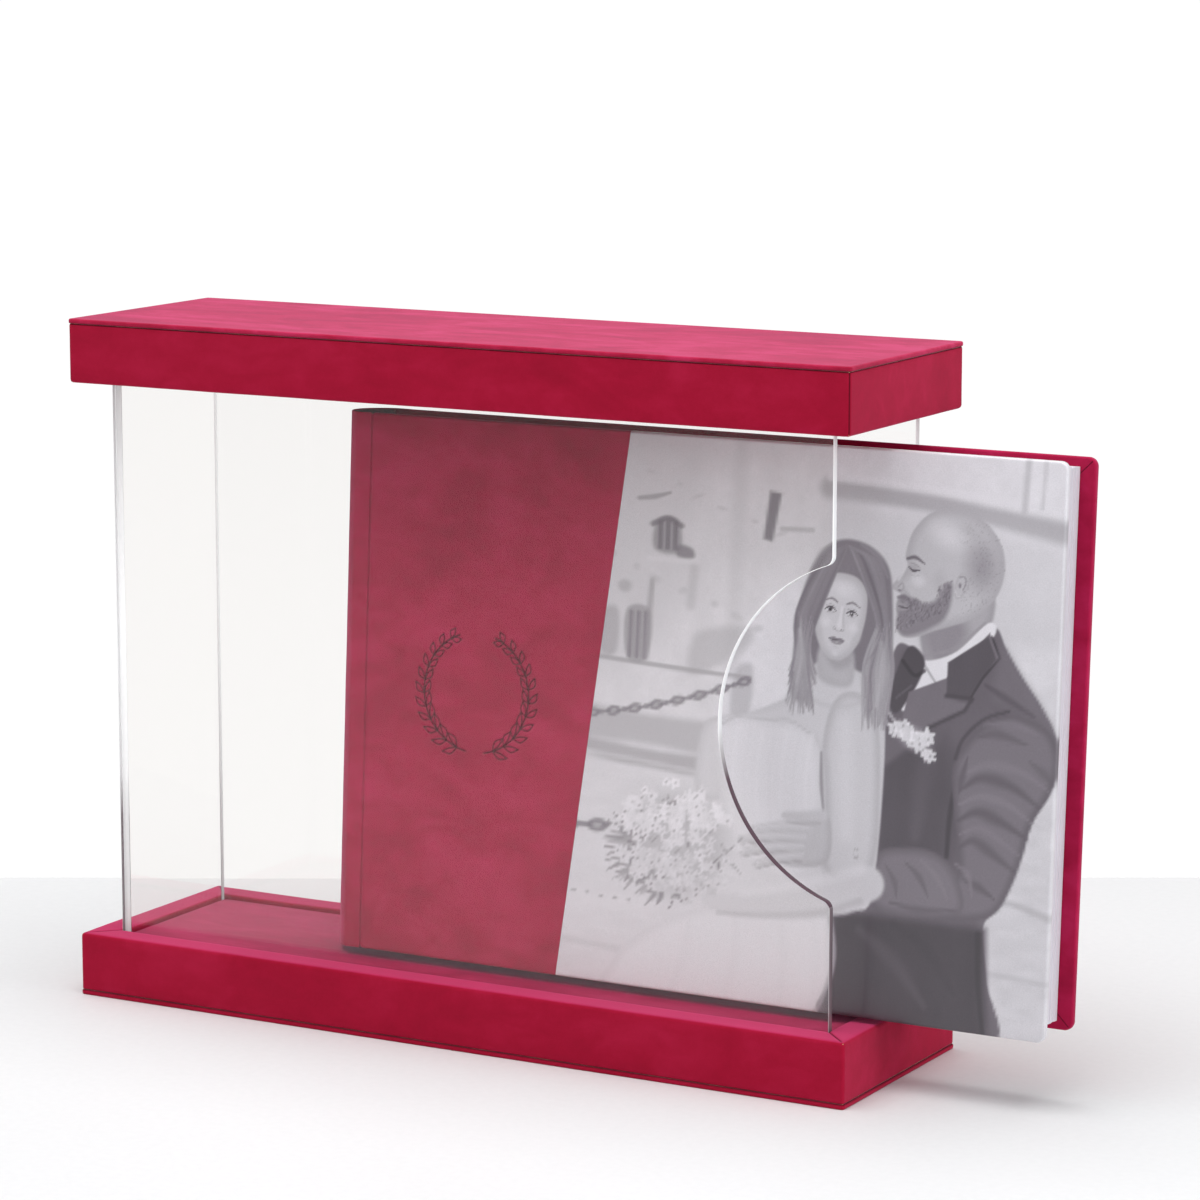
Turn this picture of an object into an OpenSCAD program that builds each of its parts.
// Display stand for one landscape photo album, with the album partly drawn out.
// Two covered boxes, one upside down over the other, hold three clear panels between them.
// The open end is on the right (+X). The origin is the centre of the base's underside.

/* [Album] */
// Width of an album leaf
page_w = 297; // [200:1:360]
// Height of an album leaf
page_h = 210; // [150:1:260]
// Number of leaves
leaf_count = 16; // [8:1:20]
// Thickness of one stiff leaf
leaf_t = 1.4; // [0.8:0.1:2]
// Air between neighbouring leaves
leaf_gap = 0.02; // [0.01:0.01:0.05]
// How far the covers stand past the leaves at the fore-edge
fore_edge_square = 6; // [3:0.5:9]
// How far the covers stand past the leaves at head and tail
head_square = 3.5; // [2:0.5:6]
// Thickness of the grey board in each cover
cover_board_t = 2.5; // [1.5:0.1:4]
// Room between the front cover and the first leaf
cover_play = 0.3; // [0.2:0.1:0.6]
// Radius of the covers' fore-edge corners
cover_corner_r = 3.5; // [1:0.5:8]
// Width of the suede turned in over the inside of a cover
turn_in_w = 16; // [10:1:30]
// How far the rounded spine bulges past its shoulders
spine_bulge = 9; // [5:0.5:12]
// Thickness of the card that stiffens the spine
spine_card_t = 1; // [0.6:0.1:2]
// Distance from the spine's outermost line to the joint groove
hinge_u = 16; // [13:0.5:20]
// Width of the joint groove
hinge_gap = 0.6; // [0.4:0.1:1.5]
// Distance from the spine's outermost line to the leaves
block_u = 12.5; // [11.5:0.5:16]
// Thickness of the tape on the back of the leaves
tape_t = 0.8; // [0.4:0.1:1]
// Distance from the tape's ends to the ends of the leaves
tape_inset = 10; // [5:1:30]
// Where the print starts along the top edge of the front cover, from the joint groove
print_top_u = 117.5; // [60:0.5:150]
// Where the print starts along the bottom edge of the front cover, from the joint groove
print_bottom_u = 91; // [60:0.5:150]

/* [Album in the stand] */
// Angle by which the album leans back
lean = 3.5; // [0:0.5:5]
// How far the album is drawn out
pull_out = 87.5; // [5:0.5:150]
// Room between the album's foot and the front panel
front_gap = 13; // [8:0.5:16]
// Room under the album's lowest edge, above the rim
foot_gap = 0.3; // [0.2:0.1:1]

/* [Stand] */
// Room between the album and the rim when the album is pushed in
bay_spare_l = 6.5; // [3:0.5:20]
// Clear depth between the front and back panels
bay_d = 69; // [56:0.5:100]
// Room over the album between the two boxes
headroom = 11; // [6:0.5:30]
// Height of each covered box
box_h = 26; // [20:0.5:40]
// Width of the rim round each box
rim_w = 12.5; // [9:0.5:20]
// Radius of the upright corners
corner_r = 1; // [0.9:0.1:2]
// How far the closing boards stand past the boxes
lid_lip = 0.3; // [0.1:0.1:0.8]
// Thickness of a closing board with its cover
lid_t = 2; // [1.5:0.1:4]
// Depth of the floor panel below the rim
floor_drop = 1.2; // [0.6:0.1:3]
// Thickness of the board in the floor panel
floor_board_t = 3; // [2:0.5:6]
// Width of the slot left beside the floor panel
floor_slot = 0.4; // [0.2:0.1:1]
// Width of a batten under the floor panel
batten_w = 20; // [10:1:30]

/* [Materials] */
// Thickness of the suede
suede_t = 0.5; // [0.3:0.1:0.8]
// Thickness of the suede on the closing boards
lid_suede_t = 0.4; // [0.3:0.1:0.8]
// Thickness of the clear panels
panel_t = 3; // [2:0.5:5]
// Room round a clear panel in its slot
panel_fit = 0.1; // [0.05:0.05:0.3]

/* [Finger notch] */
// Radius of the finger notch in the front and back panels
notch_r = 67.5; // [40:0.5:75]
// Distance from the panel's edge to the centre of the notch, outside the panel
notch_out = 20; // [5:0.5:30]
// Radius where the notch meets the panel's edge
notch_fillet_r = 4; // [1:0.5:8]

/* [Hidden] */
function two_digits(i) = i < 10 ? str("0", i) : str(i);
function leaf_name(i) = str("album_leaf_", two_digits(i));
$fn = 64;

// A cut reaches this far past the face that it opens
cut = 1;
// Straight steps along the notch and along each fillet where it meets the panel's edge
notch_steps = 80;
fillet_steps = 10;
// Facets round a full circle of the spine
spine_fn = 96;

// Album
cover_t = cover_board_t + 2 * suede_t;
block_t = leaf_count * leaf_t + (leaf_count - 1) * leaf_gap;
block_v = cover_t + cover_play;
album_t = block_v + block_t + cover_t;
album_h = page_h + 2 * head_square;
album_l = block_u + page_w + fore_edge_square;
spine_r = (album_t * album_t / 4 + spine_bulge * spine_bulge) / (2 * spine_bulge);

// Stand
inner_l = album_l + bay_spare_l + panel_t;
inner_d = bay_d + 2 * panel_t;
stand_l = inner_l + 2 * rim_w;
stand_d = inner_d + 2 * rim_w;
stand_h = 2 * box_h + album_h + headroom;
body_l = stand_l - 2 * lid_lip;
body_d = stand_d - 2 * lid_lip;
rail_top = box_h - suede_t;
rail_w = rim_w - lid_lip - 2 * suede_t;
rail_out_l = body_l - 2 * suede_t;
rail_out_d = body_d - 2 * suede_t;
floor_top = box_h - floor_drop;
floor_t = floor_board_t + suede_t;
floor_x0 = -inner_l / 2 + panel_t + floor_slot;
floor_x1 = inner_l / 2 - floor_slot;
floor_l = floor_x1 - floor_x0;
floor_x = (floor_x0 + floor_x1) / 2;
floor_d = bay_d - 2 * floor_slot;
batten_pitch = floor_l / 3;
panel_h = stand_h - 2 * lid_t;
panel_l = inner_l - 2 * panel_fit;
slot_y = inner_d / 2 - panel_fit;
// Half the height of the notch where its fillets meet the panel's edge
notch_half_h = sqrt(pow(notch_r + notch_fillet_r, 2) - pow(notch_out + notch_fillet_r, 2));
// Direction from a fillet's centre to the notch's centre
notch_angle = atan2(notch_half_h, notch_out + notch_fillet_r);

// Album's place: its spine, the foot of its front cover, and its front lower edge
album_x = -inner_l / 2 + panel_t + pull_out;
album_y = -bay_d / 2 + front_gap;
album_z = box_h + foot_gap + album_t * sin(lean);

// ---- shapes used more than once ----

module rounded_square(l, d, r) {
    square([l - 2 * r, d], center = true);
    square([l, d - 2 * r], center = true);
    for (x = [-1, 1], y = [-1, 1])
        translate([x * (l / 2 - r), y * (d / 2 - r)])
            circle(r = r);
}

// A plate centred on Z, from z0 up to z1
module plate(l, d, z0, z1, r) {
    translate([0, 0, z0])
        linear_extrude(z1 - z0)
            rounded_square(l, d, r);
}

// A plain block centred on Y
module block(x0, x1, d, z0, z1) {
    translate([x0, -d / 2, z0])
        cube([x1 - x0, d, z1 - z0]);
}

// The top box is the base box turned upside down
module top_side() {
    translate([0, 0, stand_h])
        mirror([0, 0, 1])
            children();
}

// ---- one covered box ----

// A long rail; side is -1 at the front and 1 at the back
module long_rail(side) {
    translate([-rail_out_l / 2, side * (rail_out_d - rail_w) / 2 - rail_w / 2, lid_t])
        cube([rail_out_l, rail_w, rail_top - lid_t]);
}

// A short rail between the long ones; side is -1 at the left and 1 at the right
module short_rail(side) {
    short_l = rail_out_d - 2 * rail_w;
    translate([side * (rail_out_l - rail_w) / 2 - rail_w / 2, -short_l / 2, lid_t])
        cube([rail_w, short_l, rail_top - lid_t]);
}

module battens() {
    for (i = [-1:1])
        translate([floor_x + i * batten_pitch, 0, 0])
            block(-batten_w / 2, batten_w / 2, floor_d - 2 * suede_t, lid_t, floor_top - floor_t);
}

// Suede skin round the frame: outside, over the rim and down the inside
module wrap() {
    difference() {
        plate(body_l, body_d, lid_t, box_h, corner_r);
        translate([0, 0, lid_t - cut])
            linear_extrude(box_h - lid_t + 2 * cut)
                square([inner_l, inner_d], center = true);
        difference() {
            translate([0, 0, lid_t - cut])
                linear_extrude(rail_top - lid_t + cut)
                    square([rail_out_l, rail_out_d], center = true);
            translate([0, 0, lid_t - 2 * cut])
                linear_extrude(box_h)
                    square([rail_out_l - 2 * rail_w, rail_out_d - 2 * rail_w], center = true);
        }
    }
}

module floor_board() {
    block(floor_x0 + suede_t, floor_x1 - suede_t, floor_d - 2 * suede_t,
        floor_top - floor_t, floor_top - suede_t);
}

module floor_cover() {
    difference() {
        block(floor_x0, floor_x1, floor_d, floor_top - floor_t, floor_top);
        block(floor_x0 + suede_t, floor_x1 - suede_t, floor_d - 2 * suede_t,
            floor_top - floor_t - cut, floor_top - suede_t);
    }
}

module closing_board() {
    plate(stand_l - 2 * lid_suede_t, stand_d - 2 * lid_suede_t, lid_suede_t, lid_t,
        corner_r - lid_suede_t);
}

module closing_cover() {
    difference() {
        plate(stand_l, stand_d, 0, lid_t, corner_r);
        plate(stand_l - 2 * lid_suede_t, stand_d - 2 * lid_suede_t, lid_suede_t, lid_t + cut,
            corner_r - lid_suede_t);
    }
}

// ---- clear panels ----

// Points along an arc, from angle a0 to angle a1
function arc(centre, r, a0, a1, steps) =
    [for (i = [0:steps])
        let (a = a0 + (a1 - a0) * i / steps)
            centre + r * [cos(a), sin(a)]];

// Outline of a long clear panel: plain corners on the left, the notch in its right edge
function long_panel_points() = concat(
    [[-panel_l / 2, lid_t], [panel_l / 2, lid_t]],
    arc([panel_l / 2 - notch_fillet_r, stand_h / 2 - notch_half_h],
        notch_fillet_r, 0, notch_angle, fillet_steps),
    arc([panel_l / 2 + notch_out, stand_h / 2],
        notch_r, 180 + notch_angle, 180 - notch_angle, notch_steps),
    arc([panel_l / 2 - notch_fillet_r, stand_h / 2 + notch_half_h],
        notch_fillet_r, -notch_angle, 0, fillet_steps),
    [[panel_l / 2, lid_t + panel_h], [-panel_l / 2, lid_t + panel_h]]);

// A long clear panel; side is -1 at the front and 1 at the back
module long_panel(side) {
    translate([0, side * (slot_y - panel_t / 2) + panel_t / 2, 0])
        rotate([90, 0, 0])
            linear_extrude(panel_t)
                polygon(long_panel_points());
}

// ---- album, in its own frame: u along the cover, v through it, w up ----

module in_album() {
    translate([album_x, album_y, album_z])
        rotate([-lean, 0, 0])
            children();
}

// A slab from v0 to v1, with its outline drawn in u and w
module slab(v0, v1) {
    translate([0, v1, 0])
        rotate([90, 0, 0])
            linear_extrude(v1 - v0)
                children();
}

// Outline of a cover with its fore-edge corners rounded, drawn in from the edges by inset
module cover_outline(inset) {
    u0 = hinge_u + hinge_gap / 2 + inset;
    u1 = album_l - inset;
    r = cover_corner_r - inset;
    translate([u0, inset])
        square([u1 - r - u0, album_h - 2 * inset]);
    translate([u0, inset + r])
        square([u1 - u0, album_h - 2 * inset - 2 * r]);
    for (w = [inset + r, album_h - inset - r])
        translate([u1 - r, w])
            circle(r = r);
}

// Outline of the paper pasted inside a cover
module lining_outline() {
    u0 = hinge_u + hinge_gap / 2 + suede_t;
    translate([u0, turn_in_w])
        square([album_l - turn_in_w - u0, album_h - 2 * turn_in_w]);
}

// Skin of a cover: the outer face is at v_out and the lining side at v_out + side * cover_t
module cover_skin(v_out, side) {
    v_board = v_out + side * suede_t;
    v_lining = v_out + side * (suede_t + cover_board_t);
    v_in = v_out + side * cover_t;
    difference() {
        slab(min(v_out, v_in), max(v_out, v_in))
            cover_outline(0);
        slab(min(v_board, v_lining), max(v_board, v_lining))
            cover_outline(suede_t);
        slab(min(v_lining, v_in + side * cut), max(v_lining, v_in + side * cut))
            lining_outline();
    }
}

// Prism over the printed part of the front cover, right of the slanting edge
module print_side() {
    slant = (print_top_u - print_bottom_u) / album_h;
    slab(-cut, cover_t + cut)
        polygon([
            [hinge_u + print_bottom_u - slant * cut, -cut],
            [album_l + cut, -cut],
            [album_l + cut, album_h + cut],
            [hinge_u + print_top_u + slant * cut, album_h + cut]]);
}

// Part of a ring about the spine's centre, left of the shoulders, drawn in u and v
module spine_arc(r_out, r_in) {
    intersection() {
        translate([spine_r, album_t / 2])
            difference() {
                circle(r = r_out, $fn = spine_fn);
                circle(r = r_in, $fn = spine_fn);
            }
        square([spine_bulge, album_t]);
    }
}

// ---- the pieces of the base box ----

module base_front_rail() { color("burlywood") long_rail(-1); }
module base_back_rail() { color("burlywood") long_rail(1); }
module base_left_rail() { color("tan") short_rail(-1); }
module base_right_rail() { color("tan") short_rail(1); }
module base_battens() { color("wheat") battens(); }
module base_wrap() { color([0.62, 0.12, 0.26]) wrap(); }
module base_floor_board() { color("burlywood") floor_board(); }
module base_floor_cover() { color([0.66, 0.14, 0.29]) floor_cover(); }
module base_bottom_board() { color("darkgray") closing_board(); }
module base_bottom_cover() { color([0.58, 0.11, 0.24]) closing_cover(); }

// ---- the pieces of the top box ----

module top_front_rail() { color("burlywood") top_side() long_rail(-1); }
module top_back_rail() { color("burlywood") top_side() long_rail(1); }
module top_left_rail() { color("tan") top_side() short_rail(-1); }
module top_right_rail() { color("tan") top_side() short_rail(1); }
module top_battens() { color("wheat") top_side() battens(); }
module top_wrap() { color([0.62, 0.12, 0.26]) top_side() wrap(); }
module top_ceiling_board() { color("burlywood") top_side() floor_board(); }
module top_ceiling_cover() { color([0.66, 0.14, 0.29]) top_side() floor_cover(); }
module top_lid_board() { color("darkgray") top_side() closing_board(); }
module top_lid_cover() { color([0.78, 0.27, 0.46]) top_side() closing_cover(); }

// ---- the clear panels ----

module front_panel() { color("aliceblue", 0.3) long_panel(-1); }
module back_panel() { color("aliceblue", 0.3) long_panel(1); }

module left_panel() {
    color("aliceblue", 0.3)
        block(-panel_l / 2, -panel_l / 2 + panel_t, 2 * (slot_y - panel_t - panel_fit),
            lid_t, lid_t + panel_h);
}

// ---- the pieces of the album ----

module album_front_board() {
    color("gray")
        in_album()
            slab(suede_t, suede_t + cover_board_t)
                cover_outline(suede_t);
}

module album_front_suede() {
    color([0.55, 0.18, 0.28])
        in_album()
            difference() {
                cover_skin(0, 1);
                print_side();
            }
}

module album_photo_panel() {
    color("gainsboro")
        in_album()
            intersection() {
                cover_skin(0, 1);
                print_side();
            }
}

module album_front_lining() {
    color("ivory")
        in_album()
            slab(suede_t + cover_board_t, cover_t)
                lining_outline();
}

module album_back_board() {
    color("gray")
        in_album()
            slab(album_t - suede_t - cover_board_t, album_t - suede_t)
                cover_outline(suede_t);
}

module album_back_suede() {
    color([0.62, 0.12, 0.24])
        in_album()
            cover_skin(album_t, -1);
}

module album_back_lining() {
    color("ivory")
        in_album()
            slab(album_t - cover_t, album_t - suede_t - cover_board_t)
                lining_outline();
}

module album_spine_card() {
    color("gray")
        in_album()
            translate([0, 0, suede_t])
                linear_extrude(album_h - 2 * suede_t)
                    spine_arc(spine_r - suede_t, spine_r - suede_t - spine_card_t);
}

module album_spine_suede() {
    color([0.62, 0.12, 0.24])
        in_album()
            linear_extrude(album_h) {
                spine_arc(spine_r, spine_r - suede_t);
                shoulder_l = hinge_u - hinge_gap / 2 - spine_bulge;
                translate([spine_bulge, 0])
                    square([shoulder_l, suede_t]);
                translate([spine_bulge, album_t - suede_t])
                    square([shoulder_l + hinge_gap, suede_t]);
            }
}

module album_spine_tape() {
    color("whitesmoke")
        in_album()
            translate([block_u - tape_t, block_v, head_square + tape_inset])
                cube([tape_t, block_t, page_h - 2 * tape_inset]);
}

module album_leaf(i) {
    color("white")
        in_album()
            translate([block_u, block_v + (i - 1) * (leaf_t + leaf_gap), head_square])
                cube([page_w, leaf_t, page_h]);
}

base_front_rail();
base_back_rail();
base_left_rail();
base_right_rail();
base_battens();
base_wrap();
base_floor_board();
base_floor_cover();
base_bottom_board();
base_bottom_cover();
top_front_rail();
top_back_rail();
top_left_rail();
top_right_rail();
top_battens();
top_wrap();
top_ceiling_board();
top_ceiling_cover();
top_lid_board();
top_lid_cover();
front_panel();
back_panel();
left_panel();
album_front_board();
album_front_suede();
album_photo_panel();
album_front_lining();
album_back_board();
album_back_suede();
album_back_lining();
album_spine_card();
album_spine_suede();
album_spine_tape();
for (i = [1:leaf_count])
    album_leaf(i);
